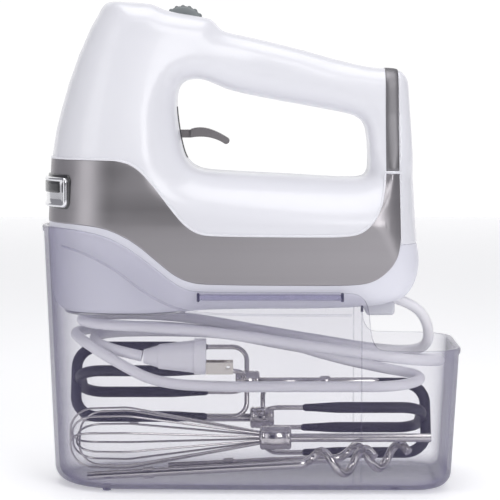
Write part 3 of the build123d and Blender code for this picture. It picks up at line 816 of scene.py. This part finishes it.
def case_ring(z, inset, bend):
    """The case's outline at one height, drawn in by the inset and by its bottom bend."""
    rise = (z - CASE_FLOOR) / (CASE_TOP - CASE_FLOOR)
    shrink = inset + bend
    nose_x, nose_r = -73.5 - 3.5 * rise, 46 + 3 * rise - shrink
    mid_r = 48.5 + 2.5 * rise - shrink
    rear_x, rear_y, rear_r = 97 + 9.2 * rise, 25.5 + 2 * rise, 24 - shrink
    lean_a = math.acos((nose_r - mid_r) / (CASE_MID_X - nose_x))
    step = math.hypot(rear_x - CASE_MID_X, rear_y)
    lean_b = math.atan2(rear_y, rear_x - CASE_MID_X) + math.acos((mid_r - rear_r) / step)
    half = arc_points(nose_x, 0, nose_r, math.pi, lean_a, 30)
    flank = arc_points(CASE_MID_X, 0, mid_r, lean_a, lean_b, 8)
    rear = arc_points(rear_x, rear_y, rear_r, lean_b, 0, 22)
    half += between(half[-1], flank[0], 26) + flank
    half += between(half[-1], rear[0], 90) + rear
    half += [(rear_x + rear_r, rear_y * t) for t in np.linspace(1, 0, 8)[1:]]
    half = np.array(half)
    return np.concatenate([half, half[-2:0:-1] * (1, -1)])


MOULD_LINE_X = 66.0
LEDGE_LINE = rounded([(-112, 147), (-98, 143.5), (-80, 134.5), (-64, 121.5), (-50, 113.5), (-36, 109),
                      (-16, 107.6), (20, 107.2), (60, 107.2)], 3)


def make_case():
    """A tub with a bent bottom, a thin wall and a rolled lip that follows the steel band."""
    bend = 9.0
    rim_height = np.interp(case_ring(CASE_TOP, 0, 0)[:, 0], *RIM.T)
    rows = []

    def row(height, inset, drawn, lip=0.0):
        ring = case_ring(float(np.mean(height)), inset, drawn)
        if np.ndim(height):
            low_ring, high_ring = case_ring(CASE_FLOOR, inset, drawn), case_ring(CASE_TOP, inset, drawn)
            share = ((height - CASE_FLOOR) / (CASE_TOP - CASE_FLOOR))[:, None]
            ring = low_ring + (high_ring - low_ring) * share
        if lip:
            away = ring - (CASE_MID_X, 0)
            away = away / np.linalg.norm(away, axis=1)[:, None]
            ring = ring + away * lip
        rows.append(np.column_stack([ring, np.broadcast_to(height, len(ring))]))

    for a in np.linspace(0, math.pi / 2, 7):
        row(CASE_FLOOR + bend * (1 - math.cos(a)), 0, bend * (1 - math.sin(a)))
    for t in np.linspace(0.05, 1, 14):
        row(CASE_FLOOR + bend + (rim_height - 4.5 - CASE_FLOOR - bend) * t, 0, 0)
    for down, lip in ((3.6, 0.5), (3.0, 0.8), (1.0, 0.8), (0.35, 0.6), (0.0, 0.0)):
        row(rim_height - down, 0.0, 0, lip)
    for down, inset in ((0.0, CASE_WALL - 0.6), (0.4, CASE_WALL), (4.0, CASE_WALL)):
        row(rim_height - down, inset, 0)
    inner_bend = bend - CASE_WALL
    floor = CASE_FLOOR + CASE_WALL
    for t in np.linspace(0.95, 0.05, 12):
        row(floor + inner_bend + (rim_height - 5 - floor - inner_bend) * t, CASE_WALL, 0)
    for a in np.linspace(math.pi / 2, 0, 6):
        row(floor + inner_bend * (1 - math.cos(a)), CASE_WALL, inner_bend * (1 - math.sin(a)))
    count = len(rows[0])
    faces = grid_faces(len(rows), count, wrap_columns=True)
    half = count // 2
    for first in (0, count * (len(rows) - 1)):
        ring = list(range(first, first + count))
        for k in range(1, half):
            quad = [ring[k - 1], ring[k], ring[-k], ring[-(k - 1) if k > 1 else 0]]
            faces.append(list(dict.fromkeys(quad)))
        faces.append([ring[half - 1], ring[half], ring[-(half - 1)]])
    outward(new_piece("storage_case_tub", np.concatenate(rows), faces, CLEAR, "case",
                      ["storage_case"]))
    for side, name in ((-1, "near"), (1, "far")):
        case_bar(f"latch_rail_{name}", side, (-30.7, 54.6), 2.1, (116.0, 119.6), 0.8, CLEAR_EDGE)
        # painted shade: a dark bar at each end of the rail stands for the shade at the ends of the latch
        # slot
        for x, end in ((-31.4, "a"), (53.6, "b")):
            case_bar(f"latch_end_{name}_{end}", side, (x, x + 1.7), 2.3, (115.2, 120.4), 0.5, CLEAR_DARK)
    ledge = [(x, case_side(x, z) - 0.25, z) for x, z in LEDGE_LINE]
    heights = np.linspace(8, 113, 30)
    line = [(MOULD_LINE_X, case_side(MOULD_LINE_X, z) - 0.1, z) for z in heights]
    # the top two points of each mould line are drawn again in the dark clear finish, which makes them
    # darker
    marks = (("mould_line", line, 0.4, CLEAR), ("ledge_line", ledge, 0.6, CLEAR),
             ("mould_line_dark_top", line[-2:], 0.8, CLEAR_DARK))
    for side, name in ((-1, "near"), (1, "far")):
        for mark, path, radius, finish in marks:
            wire_mesh(f"{mark}_{name}", [[(x, side * y, z) for x, y, z in path]], radius, finish, "case",
                      sides=3)


def case_bar(name, side, x_ends, depth, z_ends, bevel, finish):
    """A small bar standing out from one of the case's straight sides."""
    y_ends = sorted((CASE_FLANK_Y * side, (CASE_FLANK_Y + depth) * side))
    low_corner, high_corner = (tuple(c * MM for c in corner) for corner in zip(x_ends, y_ends, z_ends))
    rounded_block(name, low_corner, high_corner, bevel * MM, finish, "case")


def case_side(x, z):
    """How far out the case's straight flank lies at one place."""
    ring = case_ring(z, 0, 0)
    ring = ring[: len(ring) // 2]
    order = np.argsort(ring[:, 0])
    return float(np.interp(x, ring[order, 0], ring[order, 1]))


# ------------------------ stored tools
LOOP_R, RUBBER_R, ROD_R = 22.5, 3.4, 2.6


def collar_profile(length, radius, stem_r, stem_length):
    """A barrel with rounded ends, a groove near each end, and its stem."""
    end = [(0, 0), (0, radius - 1.4), (0.5, radius - 0.5), (1.4, radius), (2.6, radius),
           (2.9, radius - 0.4), (3.3, radius - 0.4), (3.6, radius)]
    barrel = end + [(length - x, r) for x, r in reversed(end[1:])] + [(length, stem_r)]
    if not stem_length:
        return barrel + [(length, 0)]
    last = length + stem_length
    return barrel + [(last - 37, stem_r), (last - 36, stem_r + 1.0), (last - 31, stem_r + 1.0),
                     (last - 30, stem_r), (last - 4, stem_r), (last - 1, stem_r - 0.7),
                     (last, stem_r - 1.3), (last, 0)]


def make_beater(name, axis_y, axis_z, collar, tip, shaft_end, roll):
    """Two crossing wire loops whose outer edges wear rubber sleeves with drawn-in ends."""
    way = 1 if tip > collar else -1
    sleeves, thickness = [], []
    for turn, back in ((0, 0.0), (90, 3.3)):
        crown = tip - way * (RUBBER_R + back)
        start = collar + way * 17
        flat = [(start, 0, LOOP_R), (crown, 0, LOOP_R), (crown, 0, -LOOP_R), (start, 0, -LOOP_R)]
        line = refined(bent(flat, [13, 13]))
        angle = math.radians(turn + roll)
        sleeves.append([(v.x, axis_y - v.z * math.sin(angle), axis_z + v.z * math.cos(angle))
                        for v in line])
        thickness.append(tapered(line, 26, 0.66))
    wire_mesh(f"{name}_sleeves", sleeves, RUBBER_R, RUBBER, "case", [f"{name}_rubber"],
              sides=7, thickness=thickness)
    hub = (collar, axis_y, axis_z)
    turned(f"{name}_stem", hub, (shaft_end, axis_y, axis_z),
           collar_profile(15, 6.8, ROD_R, abs(shaft_end - collar) - 15), WIRE, "case",
           [f"{name}_shaft"])


def make_whisk_collar():
    turned("whisk_collar_barrel", (6, -19, 29), (25, -19, 29), collar_profile(19, 7.2, ROD_R, 0), WIRE,
           "case", ["whisk_collar"])


# ------------------------ speed dial, ribs set by nodes
DIAL_X, DIAL_Z, DIAL_R = -40.4, 277.2, 12.8


def ribbed_wheel(name, wheel, finish):
    """Sets a rounded rib again and again round the wheel's rim, with geometry nodes."""
    group = bpy.data.node_groups.new(name + "_ribs", "GeometryNodeTree")
    group.interface.new_socket("Geometry", in_out="INPUT", socket_type="NodeSocketGeometry")
    for label, kind in (("Rib count", "NodeSocketInt"), ("Rim radius", "NodeSocketFloat"),
                        ("Rib length", "NodeSocketFloat"), ("Rib radius", "NodeSocketFloat")):
        group.interface.new_socket(label, in_out="INPUT", socket_type=kind)
    group.interface.new_socket("Geometry", in_out="OUTPUT", socket_type="NodeSocketGeometry")
    made = {}

    def add(key, kind, **settings):
        made[key] = group.nodes.new(kind)
        for setting, value in settings.items():
            setattr(made[key], setting, value)
        return made[key]

    add("in", "NodeGroupInput")
    add("ring", "GeometryNodeMeshCircle")
    add("rib", "GeometryNodeMeshCylinder").inputs["Vertices"].default_value = 14
    add("index", "GeometryNodeInputIndex")
    add("step", "ShaderNodeMath", operation="DIVIDE").inputs[0].default_value = 2 * math.pi
    add("angle", "ShaderNodeMath", operation="MULTIPLY")
    add("turn", "ShaderNodeCombineXYZ")
    add("set", "GeometryNodeInstanceOnPoints")
    add("real", "GeometryNodeRealizeInstances")
    add("smooth", "GeometryNodeSetShadeSmooth")
    add("join", "GeometryNodeJoinGeometry")
    add("paint", "GeometryNodeSetMaterial").inputs["Material"].default_value = finish
    add("out", "NodeGroupOutput")
    for source, out, target, into in (
            ("in", "Rib count", "ring", "Vertices"), ("in", "Rim radius", "ring", "Radius"),
            ("in", "Rib radius", "rib", "Radius"), ("in", "Rib length", "rib", "Depth"),
            ("in", "Rib count", "step", 1), ("step", 0, "angle", 0), ("index", 0, "angle", 1),
            ("angle", 0, "turn", "Z"), ("ring", "Mesh", "set", "Points"),
            ("rib", "Mesh", "set", "Instance"), ("turn", 0, "set", "Rotation"), ("set", 0, "real", 0),
            ("real", 0, "join", 0), ("in", "Geometry", "join", 0), ("join", 0, "smooth", "Geometry"),
            ("smooth", 0, "paint", "Geometry"), ("paint", 0, "out", 0)):
        group.links.new(made[source].outputs[out], made[target].inputs[into])
    modifier = wheel.modifiers.new("ribs", "NODES")
    modifier.node_group = group
    values = {"Rib count": 20, "Rim radius": (DIAL_R - 0.6) * MM, "Rib length": 13.6 * MM,
              "Rib radius": 1.3 * MM}
    for item in group.interface.items_tree:
        if item.in_out == "INPUT" and item.name in values:
            modifier[item.identifier] = values[item.name]
    return baked(wheel)


def make_dial():
    """A wheel with rounded rims, worked out about its own axis and then stood in its place."""
    half = 7.6
    profile = [(-half, 2.2), (-half, DIAL_R - 1.6), (-half + 0.5, DIAL_R - 0.5), (-half + 1.5, DIAL_R),
               (half - 1.5, DIAL_R), (half - 0.5, DIAL_R - 0.5), (half, DIAL_R - 1.6), (half, 2.2)]
    sides = 96
    points = [(r * math.cos(a), r * math.sin(a), h) for h, r in profile
              for a in np.linspace(0, 2 * math.pi, sides, endpoint=False)]
    mesh = bpy.data.meshes.new("dial_wheel")
    mesh.from_pydata([tuple(c * MM for c in p) for p in points], [],
                     grid_faces(len(profile), sides, wrap_rows=True, wrap_columns=True))
    wheel = in_scene("dial_wheel", mesh)
    ribbed = ribbed_wheel("speed_dial", wheel, KNOB_GREY)
    bpy.data.objects.remove(wheel)
    spots = np.array([v.co[:] for v in ribbed.vertices]) / MM
    spots = np.stack([DIAL_X + spots[:, 0], -spots[:, 2], DIAL_Z + spots[:, 1]], 1)
    outward(new_piece("speed_dial_wheel", spots, [p.vertices[:] for p in ribbed.polygons], KNOB_GREY,
                      "dial", ["speed_dial"]))


make_beater("beater_left", 12, 59, -9, -111, 80, -25)
make_beater("beater_right", 21, 35, 15, 113, -106, -25)
make_whisk_collar()
make_dial()
make_shell()
make_band()
make_base_rim()
make_divider()
make_rear_trim()
make_badge()
make_trigger_bezel()
make_heel()
make_case()


# ------------------------ finishes of the CAD pieces
FINISHES = {
    "clear_case": CLEAR_EDGE, "tool_steel": WIRE, "black_rubber": RUBBER, "grey_plastic": KNOB_GREY,
    "dark_plastic": BLACK, "cord_white": VINYL, "blade_metal": NICKEL, "lamination": IRON,
    "copper": COPPER, "gear_plastic": NYLON, "bush_bronze": BRONZE, "board_green": BOARD,
    "machined_steel": TURNED, "white_shell": WHITE, "steel": STEEL, "pad_plastic": PAD_GREY,
    "bright_chrome": CHROME,
}
slot_of = {entry["node"]: entry["material_slot"] for entry in frame["record"]["subparts"]}
for node_name, cad_piece in frame["nodes"].items():
    finish = TRIGGER_GREY if node_name == "eject_trigger" else FINISHES[slot_of[node_name]]
    if not cad_piece.data.materials:
        cad_piece.data.materials.append(finish)
    for slot_index in range(len(cad_piece.data.materials)):
        cad_piece.data.materials[slot_index] = finish


# ------------------------ floor and light
FLOOR_REACH, FLOOR_GAP, FLOOR_GLOW = 6.0, 0.0002, 0.29


def stage_card(name, corners, colour, roughness, glow=0.0):
    """A flat sheet of the set, which isn't part of the object."""
    finish, _, _ = material(name + "_finish", colour, roughness, Emission_Color=(1, 1, 1, 1),
                            Emission_Strength=glow)
    mesh = bpy.data.meshes.new(name)
    mesh.from_pydata(corners, [], [(0, 1, 2, 3)])
    mesh.materials.append(finish)
    card = in_scene(name, mesh)


def upright(x_ends, y, z_ends):
    (x1, x2), (z1, z2) = x_ends, z_ends
    return [(x1, y, z1), (x2, y, z1), (x2, y, z2), (x1, y, z2)]


def area_light(name, location, target, size, power, tall=None):
    data = bpy.data.lights.new(name, "AREA")
    data.energy = power
    data.size = size
    if tall:
        data.shape = "RECTANGLE"
        data.size_y = tall
    lamp = in_scene(name, data)
    lamp.location = location
    lamp.rotation_euler = (Vector(target) - Vector(location)).to_track_quat("-Z", "Y").to_euler()


SQUARE = ((-1, -1), (1, -1), (1, 1), (-1, 1))
stage_card("floor", [(x * FLOOR_REACH, y * FLOOR_REACH, low.z - FLOOR_GAP) for x, y in SQUARE],
           (0.93, 0.93, 0.94), 0.6, FLOOR_GLOW)
# a plain glowing card far behind the set
stage_card("backdrop", upright((-2.2, 2.2), 2.5, (-1, 2.2)), (0, 0, 0), 0.5, 1.0)
# a matt black card beside the view, which the left of the steel band mirrors; a camera turned to
# between 330 and 350 degrees stands behind it and sees nothing else
stage_card("dark_card", upright((-0.80, -0.05), -1.27, (0.0, 1.0)), (0.015, 0.015, 0.017), 0.9)
area_light("key_window", (0.55, -1.15, 0.85), (0, 0, 0.15), 0.6, 6.4, 0.9)
area_light("left_window", (-1.1, -0.7, 0.45), (0, 0, 0.15), 0.6, 2.4, 1.0)
area_light("top_window", (0.0, -0.1, 1.3), (0, 0, 0.1), 0.9, 7.0)
world = bpy.data.worlds.new("studio")
world.use_nodes = True
sky = world.node_tree.nodes["Background"].inputs
sky["Color"].default_value = (0.93, 0.93, 1.0, 1)
sky["Strength"].default_value = 0.32
bpy.context.scene.world = world
bpy.context.scene.view_settings.view_transform = "Standard"
